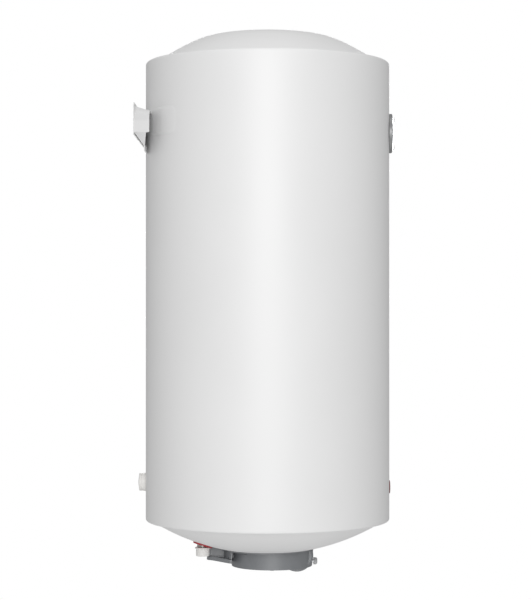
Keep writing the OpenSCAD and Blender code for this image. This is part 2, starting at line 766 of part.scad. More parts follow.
module terminal_block() color("#ddd8cc") at_axis() translate([4, 32, z_bot - bowl_depth + wall_t + 0.1])
    difference() {
        cube([32, 16, 13]);
        for (i = [0:2]) translate([6 + i * 10, 8, 5]) cylinder(r = 3, h = 12, $fn = 32);
        for (i = [0:2]) translate([6 + i * 10, -1, 4]) rotate([-90, 0, 0]) cylinder(r = 1.8, h = 20, $fn = 24);
    }

module terminal_screws() color(steel) at_axis()
    translate([4, 32, z_bot - bowl_depth + wall_t + 0.1])
        for (i = [0:2]) translate([6 + i * 10, 8, 7]) cylinder(r = 2.6, h = 5, $fn = 32);

// A thin lead that bends at each of its points.
module lead(points, r) for (i = [0:len(points) - 2]) hull() {
    translate(points[i]) sphere(r = r, $fn = 10);
    translate(points[i + 1]) sphere(r = r, $fn = 10);
}

// Three short insulated leads: terminals to thermostat, to element and to earth.
module internal_wires() color("#7b3f1d") at_axis() {
    row_z = z_bot - bowl_depth + wall_t + 4.1;
    row_y = 30.5;
    lead([[10, row_y, row_z], [6, 0, row_z], [-8, stat_back + 1.5, row_z]], 1.2);
    lead([[20, row_y, row_z], [22, 10, row_z], [22, 5.5, plate_foot - 9]], 1.2);
    lead([[30, row_y, row_z], [36, 0, row_z], [34, -12, plate_foot - 9]], 1.2);
}

module earth_stud() color("#c9a648") at_axis() translate([earth_xy[0], earth_xy[1], plate_foot - 12]) {
    cylinder(r = 2.5, h = 11.9, $fn = 32);
    translate([0, 0, 7]) hexagon(8, 4);
}

// ---------------------------------------------------------------- terminal cover

// Outer form of the cover, moved inwards by g: skirt, bowl, chin, rear step and tongue.
module cover_form(g) {
    translate([0, 0, z_bot - step_depth + g])
        cylinder(r1 = skirt_foot_r - g, r2 = skirt_top_r + 2 - g, h = 15);
    translate([0, -bowl_front, z_bot - bowl_depth + g])
        cylinder(r1 = bowl_r - 1.5 - g, r2 = bowl_r + 1 - g, h = bowl_depth - step_depth + 4 - g);
    translate([0, -53, z_bot - 61]) rotate([0, 90, 0]) intersection() {
        translate([0, 0, -34 + g]) cylinder(r = chin_r - g, h = 68 - 2 * g);
        sphere(r = 43 - g, $fn = 120);
    }
    intersection() {
        translate([0, 0, z_bot - rear_depth + g]) cylinder(r = skirt_foot_r - 1 - g, h = 40);
        translate([-52 + g, step_front + g, z_bot - 90]) cube([104 - 2 * g, 36, 60]);
    }
    translate([-27 + g, 40, z_bot - rear_depth + g]) cube([54 - 2 * g, tongue_back - 42 - g, 40]);
}

// Ledge under the rear step and the tongue, sloping down towards the bowl.
module cover_ledge() translate([0, tongue_back, z_bot - rear_depth]) rotate([ledge_slope, 0, 0])
    translate([0, -tongue_back, -3]) linear_extrude(ledge_t) difference() {
        polygon([[-30, 110], [-33, 107], [-36, 96], [-52, step_front + 4], [-52, step_front],
            [52, step_front], [52, step_front + 4], [36, 96], [33, 107], [30, 110]]);
        translate([0, -bowl_front]) circle(r = bowl_r - 5);
    }

module terminal_cover() color(cover_grey) at_axis() difference() {
    union() {
        difference() {
            cover_form(0);
            cover_form(wall_t);
        }
        difference() {
            cover_ledge();
            translate([0, 0, z_bot - rear_depth + wall_t]) cylinder(r = 130, h = 20);
        }
        for (side = [-1, 1]) for (k = [0, 1])
            translate([side * 30.5 - 1.5, tongue_back - 6 - 5 * k, z_bot - rear_depth - 4]) cube([3, 2, 8]);
    }
    translate([0, 0, bottom_c]) sphere(r = bottom_r + gap, $fn = 360);
    translate([0, 0, z_bot - 40]) cylinder(r = 130, h = 60);
    translate([0, 0, z_bot - step_depth - 3]) cylinder(r = bowl_r - 4, h = 20);
    translate([0, -95, spindle_z]) rotate([-90, 0, 0]) cylinder(r = 3.4, h = 20, $fn = 48);
    translate([0, tongue_back - 10, gland_z]) rotate([-90, 0, 0]) cylinder(r = 6.2, h = 20, $fn = 48);
    for (side = [-1, 1])
        translate([side * post_x, post_y, z_bot - 90]) cylinder(r = 2.3, h = 14, $fn = 32);
}

module cover_posts() color(steel) at_axis() for (side = [-1, 1])
    translate([side * post_x, post_y, z_bot - bowl_depth + wall_t + 0.1]) difference() {
        hexagon(8, plate_foot - (z_bot - bowl_depth + wall_t) - 0.2);
        translate([0, 0, -1]) cylinder(r = 2.1, h = 13, $fn = 32);
    }

module cover_screws() color(steel) at_axis() for (side = [-1, 1])
    translate([side * post_x, post_y, z_bot - bowl_depth - 2.4]) difference() {
        union() {
            cylinder(r = 4.2, h = 2.3, $fn = 48);
            cylinder(r = 2, h = 14, $fn = 32);
        }
        for (a = [0, 90]) rotate([0, 0, a]) cube([4.4, 1, 2.4], center = true);
    }

// Gland in the cover's rear tongue, with the cable's way through it.
module cable_gland() color("#3c3d40") at_axis() translate([0, tongue_back - 11, gland_z])
    rotate([-90, 0, 0]) difference() {
        union() {
            cylinder(r = 6, h = 12, $fn = 48);
            hexagon(14, 6.2);
            translate([0, 0, 9.1]) hexagon(14, 3);
            translate([0, 0, 12]) cylinder(r1 = 6.6, r2 = 5.4, h = 6, $fn = 48);
        }
        translate([0, 0, -1]) cylinder(r = 4, h = 30, $fn = 48);
    }

module cable_clamp() color("#ddd8cc") at_axis() translate([-11, 78, z_bot - rear_depth + wall_t + 0.1]) difference() {
    cube([22, 8, 4]);
    translate([11, -1, 5.5]) rotate([-90, 0, 0]) cylinder(r = 4, h = 10, $fn = 32);
}

jacket();
top_cover();
bottom_cover();
foam_insulation();
tank_shell();
tank_top_head();
tank_bottom_head();
flange_neck();
bracket_bosses();
bracket_strap();
wall_bracket();
bracket_bolts();
wall_spacer();
spacer_screw();
gauge_body();
gauge_bezel();
gauge_dial();
gauge_lens();
gauge_pointer();
gauge_spindle();
gauge_movement();
gauge_capillary();
gauge_bulb();
bulb_pocket();
lamp_bezel();
lamp_lens();
lamp_body();
lamp_lead();
cold_pipe();
cold_diffuser();
hot_pipe();
cold_collar();
hot_collar();
cold_cap();
hot_cap();
flange_gasket();
flange_plate();
flange_bolts();
heating_element();
element_terminals();
thermowell();
anode_rod();
anode_stud();
anode_nut();
thermostat_body();
thermostat_bulb();
thermostat_capillary();
thermostat_spindle();
thermostat_knob();
thermal_cutout();
reset_button();
terminal_block();
terminal_screws();
internal_wires();
earth_stud();
terminal_cover();
cover_posts();
cover_screws();
cable_gland();
cable_clamp();
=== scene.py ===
import json
import math

import bmesh
import bpy
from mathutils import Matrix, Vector


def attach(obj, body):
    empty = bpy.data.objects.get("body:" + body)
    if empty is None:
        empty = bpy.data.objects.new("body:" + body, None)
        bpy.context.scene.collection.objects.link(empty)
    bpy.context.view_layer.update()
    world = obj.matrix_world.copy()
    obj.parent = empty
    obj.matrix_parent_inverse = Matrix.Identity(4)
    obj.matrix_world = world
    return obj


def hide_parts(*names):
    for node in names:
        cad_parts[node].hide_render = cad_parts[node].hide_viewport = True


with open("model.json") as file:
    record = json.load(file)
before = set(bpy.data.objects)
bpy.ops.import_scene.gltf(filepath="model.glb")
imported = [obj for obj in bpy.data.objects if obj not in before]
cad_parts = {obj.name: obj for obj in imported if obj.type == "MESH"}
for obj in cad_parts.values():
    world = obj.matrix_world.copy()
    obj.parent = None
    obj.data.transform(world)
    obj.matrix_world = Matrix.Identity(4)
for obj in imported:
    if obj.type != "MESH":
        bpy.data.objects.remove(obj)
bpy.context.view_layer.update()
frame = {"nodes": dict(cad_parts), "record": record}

# The scene is in metres, and the sizes below are in millimetres. The wall is the plane Y = 0, the front
# faces -Y, the tank's axis stands at X = 0, and heights are measured from the bracket's hook slots.
MM = 0.001

JACKET_R = 222.5
JACKET_T = 0.8
WALL_GAP = 14
AXIS_Y = -(JACKET_R + WALL_GAP)
TOP = 113
BOTTOM = TOP - 834.5
GAP = 0.3                       # air between pieces that only rest on each other

# The covers: the thickness of their sheet, the three arcs of the top one, and the dome of the bottom one.
# Two of the arcs have their ends in degrees from straight up.
COVER_T = 1.6
CROWN_H = 55.7
CROWN_R = 700
CROWN_END = 8.2
SHOULDER_R = 136
SHOULDER_END = 25
SKIRT_R = 405
DOME_R = 400
DOME_H = 59.8

# Fittings on the jacket. The strap reaches this many degrees to each side of the bracket's middle.
STRAP_REACH = 44
SPACER_Z = BOTTOM + 69
GAUGE_Z = TOP - 127.5
BEZEL_R = 36
BEZEL_BORE = 31.5
DIAL_FACE = 222.4
LAMP_Z = BOTTOM + 60
LAMP_R = 12
LAMP_BORE = 9.2

# Pipes and what stands below the jacket.
PIPE_X = 50
PIPE_BACK = 117
PIPE_R = 10.0
PIPE_BORE = 7.2
PIPE_FOOT = BOTTOM - 57.2
THREAD_R = 10.4
THREAD_LENGTH = 15
SPINDLE_Z = BOTTOM - 75.5

MATERIALS = {}
replaced = set()


# ---------------------------------------------------------------- mesh helpers, in millimetres

def arc(cx, cz, r, start, end, steps):
    """Points on an arc, with its angles measured from straight up towards the outside."""
    turn = [math.radians(start + (end - start) * i / steps) for i in range(steps + 1)]
    return [(cx + r * math.sin(a), cz + r * math.cos(a)) for a in turn]


def upright(x=0.0, y=0.0):
    """Turns (radius, height, angle) into a point round a vertical axis."""
    return lambda r, h, a: (x + r * math.cos(a), AXIS_Y + y + r * math.sin(a), h)


def to_front(z):
    """Turns (radius, distance from the tank's axis, angle) into a point on a part facing the front."""
    return lambda r, d, a: (r * math.cos(a), AXIS_Y - d, z + r * math.sin(a))


def to_back(z):
    """The same for a part facing the wall."""
    return lambda r, d, a: (r * math.cos(a), AXIS_Y + d, z + r * math.sin(a))


def add_object(name, bm, sharp=35):
    """Merges doubled points and makes a smooth-shaded object, with its edges sharp above an angle."""
    bmesh.ops.remove_doubles(bm, verts=bm.verts, dist=1e-6)
    bmesh.ops.recalc_face_normals(bm, faces=bm.faces)
    mesh = bpy.data.meshes.new(name)
    bm.to_mesh(mesh)
    bm.free()
    mesh.shade_smooth()
    mesh.set_sharp_from_angle(angle=math.radians(sharp))
    piece = bpy.data.objects.new(name, mesh)
    bpy.context.scene.collection.objects.link(piece)
    return piece


def grid(bm, rows, wrap_rows=False, wrap_columns=False):
    """Joins rows of points with quads."""
    made = [[bm.verts.new(Vector(p) * MM) for p in row] for row in rows]
    count = len(made[0])
    for i in range(len(made) if wrap_rows else len(made) - 1):
        here = made[i]
        above = made[(i + 1) % len(made)]
        for j in range(count if wrap_columns else count - 1):
            k = (j + 1) % count
            bm.faces.new((here[j], here[k], above[k], above[j]))


def lathe(name, profile, place, closed=True, segments=256, wave=None, sharp=35):
    """Turns a profile of (radius, height) points round an axis.

    wave(radius, height, angle) is added to the radius.
    """
    bm = bmesh.new()
    rows = []
    for r, h in profile:
        row = []
        for i in range(segments):
            a = 2 * math.pi * i / segments
            row.append(place(r + (wave(r, h, a) if wave else 0), h, a))
        rows.append(row)
    grid(bm, rows, wrap_rows=closed, wrap_columns=True)
    return add_object(name, bm, sharp)


def straight(a, b, steps):
    """Points between two profile points, without the first."""
    parts = [i / steps for i in range(1, steps + 1)]
    return [(a[0] + (b[0] - a[0]) * part, a[1] + (b[1] - a[1]) * part) for part in parts]


# ---------------------------------------------------------------- materials

def surface(name, dark, light, rough, metal=0.0, grain=30.0, stretch=(1, 1, 1), spread=0.05,
            bump=0.1, bump_size=500.0, sockets=None):
    """Procedural material: noise in object space varies the colour, the roughness and the relief."""
    material = bpy.data.materials.new(name)
    material.use_nodes = True
    nodes = material.node_tree.nodes
    links = material.node_tree.links
    shader = nodes["Principled BSDF"]
    shader.inputs["Metallic"].default_value = metal
    for key, value in (sockets or {}).items():
        shader.inputs[key].default_value = value
    place = nodes.new("ShaderNodeTexCoord")
    mapping = nodes.new("ShaderNodeMapping")
    mapping.inputs["Scale"].default_value = stretch
    links.new(place.outputs["Object"], mapping.inputs["Vector"])
    mottle = nodes.new("ShaderNodeTexNoise")
    mottle.inputs["Scale"].default_value = grain
    mottle.inputs["Detail"].default_value = 4
    links.new(mapping.outputs["Vector"], mottle.inputs["Vector"])
    ramp = nodes.new("ShaderNodeValToRGB")
    ramp.color_ramp.elements[0].position = 0.3
    ramp.color_ramp.elements[1].position = 0.7
    ramp.color_ramp.elements[0].color = (*dark, 1)
    ramp.color_ramp.elements[1].color = (*light, 1)
    links.new(mottle.outputs["Fac"], ramp.inputs["Fac"])
    links.new(ramp.outputs["Color"], shader.inputs["Base Color"])
    gloss = nodes.new("ShaderNodeMapRange")
    gloss.inputs["To Min"].default_value = max(rough - spread, 0)
    gloss.inputs["To Max"].default_value = rough + spread
    links.new(mottle.outputs["Fac"], gloss.inputs["Value"])
    links.new(gloss.outputs["Result"], shader.inputs["Roughness"])
    relief = nodes.new("ShaderNodeTexNoise")
    relief.inputs["Scale"].default_value = bump_size
    relief.inputs["Detail"].default_value = 2
    links.new(mapping.outputs["Vector"], relief.inputs["Vector"])
    raised = nodes.new("ShaderNodeBump")
    raised.inputs["Strength"].default_value = bump
    raised.inputs["Distance"].default_value = 0.0002
    links.new(relief.outputs["Fac"], raised.inputs["Height"])
    links.new(raised.outputs["Normal"], shader.inputs["Normal"])
    MATERIALS[name] = material
    return material


def grey(value, tint=(1, 1, 1)):
    """A grey of one strength, tinted if asked."""
    return tuple(value * t for t in tint)


WARM = (1.0, 0.985, 0.96)
COOL = (0.975, 0.985, 1.0)
GLOSSY = {"Specular IOR Level": 1.0, "IOR": 1.7}

surface("white_enamel", grey(0.79), grey(0.805), 0.5, grain=6, bump=0.06, bump_size=260,
        sockets={"Specular IOR Level": 0.9})
# Darker copy of the white enamel for the bracket: painted shade, the same enamel as if seen in less light.
surface("bracket_shaded_enamel", grey(0.65), grey(0.67), 0.5, grain=12, bump=0.06, bump_size=260)
surface("foam", (0.66, 0.5, 0.22), (0.8, 0.64, 0.33), 0.9, grain=90, bump=0.6, bump_size=700)
surface("tank_steel", (0.34, 0.35, 0.36), (0.45, 0.46, 0.47), 0.45, metal=0.9, stretch=(1, 1, 0.15))
surface("raw_steel", (0.2, 0.19, 0.18), (0.3, 0.29, 0.28), 0.55, metal=0.8)
surface("zinc_steel", (0.55, 0.56, 0.57), (0.7, 0.71, 0.72), 0.35, metal=1.0, grain=160)
surface("pipe_steel", (0.4, 0.39, 0.37), (0.52, 0.51, 0.49), 0.38, metal=1.0, grain=120)
surface("white_plastic", grey(0.74, WARM), grey(0.78, WARM), 0.5, grain=60, bump=0.03)
surface("dial_white", grey(0.84), grey(0.88), 0.6, grain=80)
surface("bezel_grey", grey(0.16, COOL), grey(0.18, COOL), 0.42, grain=60, bump=0.03, sockets=GLOSSY)
surface("clear_lens", (0.96, 0.97, 0.98), (0.99, 0.99, 1.0), 0.06, spread=0.02, bump=0.01,
        sockets={"Transmission Weight": 1.0, "IOR": 1.3})
surface("black_plastic", grey(0.018), grey(0.03), 0.5, grain=120)
surface("pointer_red", (0.5, 0.02, 0.015), (0.58, 0.03, 0.02), 0.45, grain=160)
surface("brass", (0.62, 0.43, 0.16), (0.74, 0.54, 0.24), 0.32, metal=1.0, grain=120)
surface("copper", (0.55, 0.25, 0.13), (0.7, 0.36, 0.21), 0.35, metal=1.0, grain=90)
surface("lamp_surround", (0.14, 0.012, 0.015), (0.18, 0.018, 0.021), 0.6, grain=120,
        sockets={"Specular IOR Level": 0.1})
surface("lamp_red", (0.3, 0.015, 0.018), (0.38, 0.02, 0.024), 0.18, grain=120,
        sockets={"Transmission Weight": 0.25, "IOR": 1.5})
surface("pale_plastic", (0.62, 0.6, 0.54), (0.72, 0.7, 0.63), 0.55, grain=90)
surface("wire", (0.06, 0.03, 0.018), (0.09, 0.045, 0.028), 0.55, grain=150)
surface("collar_blue", (0.025, 0.07, 0.3), (0.035, 0.09, 0.37), 0.45, grain=120)
surface("collar_red", (0.36, 0.025, 0.035), (0.45, 0.035, 0.045), 0.45, grain=120)
surface("gasket", grey(0.012), grey(0.022), 0.8, grain=200, bump=0.3)
surface("anode_metal", grey(0.42, WARM), grey(0.56, WARM), 0.55, metal=0.9, grain=60, stretch=(1, 1, 0.2))
surface("cover_grey", (0.13, 0.138, 0.148), (0.141, 0.149, 0.16), 0.52, grain=70, bump=0.02, bump_size=900,
        sockets=GLOSSY)
surface("knob_grey", grey(0.38, COOL), grey(0.42, COOL), 0.42, grain=120, bump_size=1400)

slot_of = {part["node"]: part["material_slot"] for part in frame["record"]["subparts"]}
body_of = {node: body for body, nodes in frame["record"]["behaviour"]["bodies"].items() for node in nodes}


def fit_out(piece, node, slot=None, replace=True):
    """Gives a piece its material, its body and the CAD node that it stands for."""
    slot = slot or slot_of[node]
    piece.data.materials.clear()
    piece.data.materials.append(MATERIALS[slot])
    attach(piece, body_of[node])
    if replace:
        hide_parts(node)
        replaced.add(node)


def softened(node, radius, shade_copy=None):
    """A copy of a CAD node with its edges rounded, given a darker copy of its material as painted shade if
    one is named.
    """
    sharp = 30
    bm = bmesh.new()
    bm.from_mesh(frame["nodes"][node].data)
    bmesh.ops.remove_doubles(bm, verts=bm.verts, dist=1e-5)
    bmesh.ops.dissolve_limit(bm, angle_limit=math.radians(1), verts=bm.verts, edges=bm.edges)
    piece = add_object(node + "_look", bm, sharp)
    bevel = piece.modifiers.new("edges", "BEVEL")
    bevel.width = radius * MM
    bevel.segments = 3
    bevel.limit_method = "ANGLE"
    bevel.angle_limit = math.radians(sharp)
    bevel.harden_normals = True
    fit_out(piece, node)
    # A named material here is a darker copy of the piece's own: painted shade.
    if shade_copy:
        piece.data.materials[0] = MATERIALS[shade_copy]


# ---------------------------------------------------------------- casing

def jacket():
    """Rolled sheet with turned-in rims, open behind the dial and the lamp."""
    t = JACKET_T
    top_bend = 5
    low_bend = 4
    top_lip = 204.6
    low_lip = 211.5
    top = (JACKET_R - top_bend, TOP - top_bend)
    low = (JACKET_R - low_bend, BOTTOM + low_bend)
    outer = [(top_lip, TOP)] + arc(*top, top_bend, 0, 90, 10)
    outer += straight((JACKET_R, top[1]), (JACKET_R, low[1]), 160)
    outer += arc(*low, low_bend, 90, 180, 8)[1:] + [(low_lip, BOTTOM), (low_lip, BOTTOM + t)]
    inner = arc(*low, low_bend - t, 180, 90, 8)
    inner += straight((JACKET_R - t, low[1]), (JACKET_R - t, top[1]), 160)
    inner += arc(*top, top_bend - t, 90, 0, 10)[1:] + [(top_lip, TOP - t)]
    piece = lathe("jacket_look", outer + inner, upright())
    bm = bmesh.new()
    bm.from_mesh(piece.data)
    lamp_hole = 8
    for z, reach in ((GAUGE_Z, BEZEL_BORE), (LAMP_Z, lamp_hole)):
        hole = []
        for face in bm.faces:
            middle = face.calc_center_median()
            in_front = middle.y < (AXIS_Y - 200) * MM
            if in_front and math.hypot(middle.x, middle.z - z * MM) < reach * MM:
                hole.append(face)
        bmesh.ops.delete(bm, geom=hole, context="FACES")
    bm.to_mesh(piece.data)
    bm.free()
    fit_out(piece, "jacket")


def jacket_seam():
    """Folded seam of the sheet, in two lengths above and below the bracket."""
    direction = 82
    height = 0.85
    bracket_foot = -62
    bracket_head = 26
    for name, low, high in (("lower", BOTTOM + 6, bracket_foot), ("upper", bracket_head, TOP - 7)):
        bm = bmesh.new()
        rows = []
        for i in range(25):
            z = low + (high - low) * i / 24
            row = []
            for j in range(13):
                across = -1 + j / 6
                a = math.radians(direction + across)
                r = JACKET_R - 0.1 + height * math.sqrt(max(1 - across ** 4, 0))
                row.append((r * math.cos(a), AXIS_Y + r * math.sin(a), z))
            rows.append(row)
        grid(bm, rows)
        fit_out(add_object("seam_" + name, bm, 60), "jacket", replace=False)


def along(centre, r, angle):
    """The point at a distance from a centre, with the angle measured from straight up."""
    a = math.radians(angle)
    return (centre[0] + r * math.sin(a), centre[1] + r * math.cos(a))


def top_profile(g, foot):
    """Three tangent arcs from the crown to the height of the flange, moved inwards by g."""
    crown = (0.0, TOP + CROWN_H - CROWN_R)
    join = along(crown, CROWN_R, CROWN_END)
    shoulder = along(join, -SHOULDER_R, CROWN_END)
    join = along(shoulder, SHOULDER_R, SHOULDER_END)
    skirt = along(join, -SKIRT_R, SHOULDER_END)
    end = math.degrees(math.acos((foot - skirt[1]) / (SKIRT_R - g)))
    points = arc(*crown, CROWN_R - g, 0, CROWN_END, 30)
    points += arc(*shoulder, SHOULDER_R - g, CROWN_END, SHOULDER_END, 20)[1:]
    return points + arc(*skirt, SKIRT_R - g, SHOULDER_END, end, 30)[1:]


def top_cover():
    """Domed lid whose flange lies under the jacket's upper rim."""
    face = TOP - JACKET_T - GAP
    flange_r = 214
    outer = top_profile(0, face) + [(flange_r, face), (flange_r, face - COVER_T)]
    inner = top_profile(COVER_T, face - COVER_T)
    piece = lathe("top_cover_look", outer + inner[::-1], upright(), closed=False)
    fit_out(piece, "top_cover")


def bottom_cover():
    """Shallow dome with a round opening for the flange plate."""
    opening_r = 72
    rim_r = 210.9
    flange_r = 217
    seat = BOTTOM + JACKET_T + GAP
    centre = BOTTOM - DOME_H + DOME_R
    edge = math.degrees(math.asin(opening_r / DOME_R))
    rim = math.degrees(math.asin(rim_r / DOME_R))
    outer = arc(0, centre, DOME_R, 180 - edge, 180 - rim, 70)
    inner = arc(0, centre, DOME_R - COVER_T, 180 - rim, 180 - edge, 70)
    flange = [(flange_r, seat), (flange_r, seat + COVER_T)]
    piece = lathe("bottom_cover_look", outer + flange + inner, upright())
    fit_out(piece, "bottom_cover")


# ---------------------------------------------------------------- wall fixing

def strap_rise(turn):
    """Height of the strap over the jacket, by the angle from its middle in degrees: highest at a crease."""
    crease = 33
    peak = 1.3
    if turn > crease:
        return peak - 1.1 * (turn - crease) / (STRAP_REACH - crease)
    return peak - 0.9 * min((crease - turn) / 14, 1)


def strap():
    """Curved plate wrapped over the jacket, with round corners and soft edges."""
    middle = -2.75
    half = 25.1
    corner = 16
    soft = 4
    reach = math.radians(STRAP_REACH) * JACKET_R
    bm = bmesh.new()
    stops = [math.sin(math.pi / 2 * (i / 20 - 1)) for i in range(41)]
    rows = []
    for i in range(201):
        s = reach * math.sin(math.pi / 2 * (-1 + i / 100))
        past = max(abs(s) - (reach - corner), 0) / corner
        tall = half - corner * (1 - math.sqrt(max(1 - past * past, 0)))
        rise = strap_rise(math.degrees(abs(s) / JACKET_R))
        a = math.pi / 2 - s / JACKET_R
        outer = []
        for v in stops:
            inside = min(min((1 - abs(v)) * tall, (1 - past) * corner) / soft, 1)
            r = JACKET_R + 0.1 + rise * inside * inside * (3 - 2 * inside)
            outer.append((r * math.cos(a), AXIS_Y + r * math.sin(a), middle + v * tall))
        rows.append(outer)
    grid(bm, rows)
    fit_out(add_object("strap_look", bm, 60), "bracket_strap")


def spacer():
    """Domed foot that keeps the heater off the wall, with a flared base and a groove."""
    r = 16
    base_r = 20.2
    bore = 2.7
    head_r = 5.5
    flare = 5.2
    groove = 0.7
    edge = 1.6
    foot = JACKET_R - 0.6
    seat = JACKET_R + WALL_GAP - 1
    shoulder = seat - 2.3
    profile = [(bore, foot - 2), (base_r, foot - 2)]
    profile += arc(r + flare, foot + 4.4, flare, 190, 270, 10)
    profile += straight((r, foot + 4.6), (r, foot + 7.2), 2)
    profile += [(r - groove, foot + 7.6), (r - groove, foot + 8.4), (r, foot + 8.8)]
    profile += straight((r, foot + 8.8), (r, shoulder), 3) + arc(r - edge, shoulder, edge, 90, 25, 6)
    profile += [(head_r + 0.1, seat + 0.5), (head_r, seat), (bore, seat)]
    piece = lathe("spacer_look", profile, to_back(SPACER_Z), segments=128)
    fit_out(piece, "wall_spacer")


# ---------------------------------------------------------------- dial thermometer

def gauge_bezel():
    """Grey ring with a rounded front edge."""
    back = 220.5
    front = 228
    edge = 2.0
    lip = 0.8
    profile = [(BEZEL_BORE, back), (BEZEL_R - 0.6, back), (BEZEL_R, back + 1.5)]
    profile += straight((BEZEL_R, back + 1.5), (BEZEL_R, front - edge), 3)
    profile += arc(BEZEL_R - edge, front - edge, edge, 90, 0, 10)
    profile += arc(BEZEL_BORE + lip, front - lip, lip, 0, -90, 5)
    piece = lathe("gauge_bezel_look", profile, to_front(GAUGE_Z), segments=160)
    fit_out(piece, "gauge_bezel")


def gauge_lens():
    """Clear cap over the dial: a short wall, a soft edge and a barely domed face."""
    back = 225.5
    dome = 300
    foot_r = BEZEL_BORE - 0.3
    wall_r = 30.1
    bore = 28.7
    edge = 1
    end = math.degrees(math.asin((wall_r - edge) / dome))
    outer = [(foot_r, back), (foot_r, back + 2.4), (wall_r, back + 2.4)]
    outer += arc(wall_r - edge, back + 4.9, edge, 90, 0, 6)
    outer += arc(0, back + 7.3 - dome, dome, end, 0, 24)[1:]
    end = math.degrees(math.asin(bore / dome))
    inner = arc(0, back + 5.9 - dome, dome, 0, end, 24) + [(bore, back)]
    piece = lathe("gauge_lens_look", outer + inner, to_front(GAUGE_Z), segments=160)
    fit_out(piece, "gauge_lens")


def dial_place(r, a):
    """A point just over the dial's face. Angles run clockwise from straight up."""
    lift = 0.06
    t = math.radians(a)
    return (r * math.sin(t), AXIS_Y - DIAL_FACE - lift, GAUGE_Z + r * math.cos(t))


def dial_patch(bm, r_in, r_out, start, end, steps):
    """A thin printed mark between two radii and two angles."""
    angles = [start + (end - start) * i / steps for i in range(steps + 1)]
    grid(bm, [[dial_place(r, a) for a in angles] for r in (r_in, r_out)])


def dial_ticks():
    """A tick every ten degrees of turn, and a long one at each number."""
    ticks = bmesh.new()
    for i in range(25):
        a = -120 + 10 * i
        start, half = (20.5, 1.1) if i % 6 == 0 else (22.5, 0.5)
        dial_patch(ticks, start, 25, a - half, a + half, 2)
    fit_out(add_object("dial_ticks", ticks), "gauge_dial", "black_plastic", replace=False)


def dial_bands():
    """A cold and a hot band outside the ticks."""
    for name, slot, start, end in (("cold", "collar_blue", -120, -30), ("hot", "collar_red", 30, 120)):
        band = bmesh.new()
        dial_patch(band, 26, 27.6, start, end, 40)
        fit_out(add_object("dial_band_" + name, band), "gauge_dial", slot, replace=False)


def dial_numbers():
    """Plain numbers inside the ticks."""
    for i, number in enumerate(("0", "20", "40", "60", "80")):
        curve = bpy.data.curves.new("number_" + number, "FONT")
        curve.body = number
        curve.size = 5.2 * MM
        curve.align_x = "CENTER"
        curve.align_y = "CENTER"
        text = bpy.data.objects.new("number_source", curve)
        bpy.context.scene.collection.objects.link(text)
        bpy.context.view_layer.update()
        mesh = bpy.data.meshes.new_from_object(text.evaluated_get(bpy.context.evaluated_depsgraph_get()))
        bpy.data.objects.remove(text)
        x, y, z = dial_place(16.2, -120 + 60 * i)
        for vertex in mesh.vertices:
            flat = vertex.co.copy()
            vertex.co = (x * MM + flat.x, y * MM, z * MM + flat.y)
        piece = bpy.data.objects.new("dial_number_" + number, mesh)
        bpy.context.scene.collection.objects.link(piece)
        fit_out(piece, "gauge_dial", "black_plastic", replace=False)


# ---------------------------------------------------------------- pilot lamp

def lamp_bezel():
    """Low round surround with a soft front edge."""
    front = JACKET_R + 1.6
    edge = 1
    profile = [(LAMP_BORE, front - 2.7), (LAMP_R - 0.4, front - 2.7), (LAMP_R, front - 2.1)]
    profile += [(LAMP_R, front - 1.1)] + arc(LAMP_R - edge, front - edge, edge, 90, 0, 8)
    profile += [(LAMP_BORE + 0.4, front), (LAMP_BORE, front - 0.3)]
    fit_out(lathe("lamp_bezel_look", profile, to_front(LAMP_Z), segments=128), "lamp_bezel")


def lamp_lens():
    """Red lens with a slightly domed face."""
    r = 9
    dome = 40
    back = JACKET_R - 3
    end = math.degrees(math.asin((r - 0.4) / dome))
    profile = [(0, back), (r, back), (r, back + 3.9)] + arc(0, back + 5.3 - dome, dome, end, 0, 14)
    fit_out(lathe("lamp_lens_look", profile, to_front(LAMP_Z), closed=False, segments=128), "lamp_lens")


# ---------------------------------------------------------------- water pipes

def thread(r, h, a):
    """Half-inch pipe thread: a helix cut into the lowest 15 mm of the pipe."""
    pitch = 1.8
    start = PIPE_FOOT + 0.4
    end = PIPE_FOOT + THREAD_LENGTH - 0.4
    if r < PIPE_R - 0.2 or h > end or h < start:
        return 0
    phase = (h / pitch - a / (2 * math.pi)) % 1
    return abs(2 * phase - 1) - 1


def pipe(node, side, top):
    """Water pipe with a threaded lower end."""
    shoulder = PIPE_FOOT + THREAD_LENGTH
    profile = [(PIPE_BORE, PIPE_FOOT), (PIPE_R, PIPE_FOOT)]
    profile += [(THREAD_R, PIPE_FOOT + 0.3 + 0.15 * i) for i in range(96)]
    profile += [(PIPE_R, shoulder)] + straight((PIPE_R, shoulder), (PIPE_R, top), 4) + [(PIPE_BORE, top)]
    piece = lathe(node + "_look", profile, upright(side * PIPE_X, PIPE_BACK), segments=96, wave=thread)
    fit_out(piece, node)


def pipe_cap(node, side):
    """Transit cap: a soft plastic cup with a thick rolled rim."""
    top = BOTTOM - 44
    foot = BOTTOM - 60
    r = 12
    bore = 10.75
    edge = 1.8
    rim = 1.3
    floor = foot + 2.2
    outer = [(0, foot)] + arc(r - edge, foot + edge, edge, 180, 90, 8) + [(r, top - 3.2)]
    outer += arc(r + 0.7, top - rim, rim, 180, 0, 10) + [(11.2, top)]
    inner = [(bore, top - 0.4), (bore, floor), (0, floor)]
    place = upright(side * PIPE_X, PIPE_BACK)
    piece = lathe(node + "_look", outer + inner, place, closed=False, segments=128)
    fit_out(piece, node)


# ---------------------------------------------------------------- terminal cover and knob

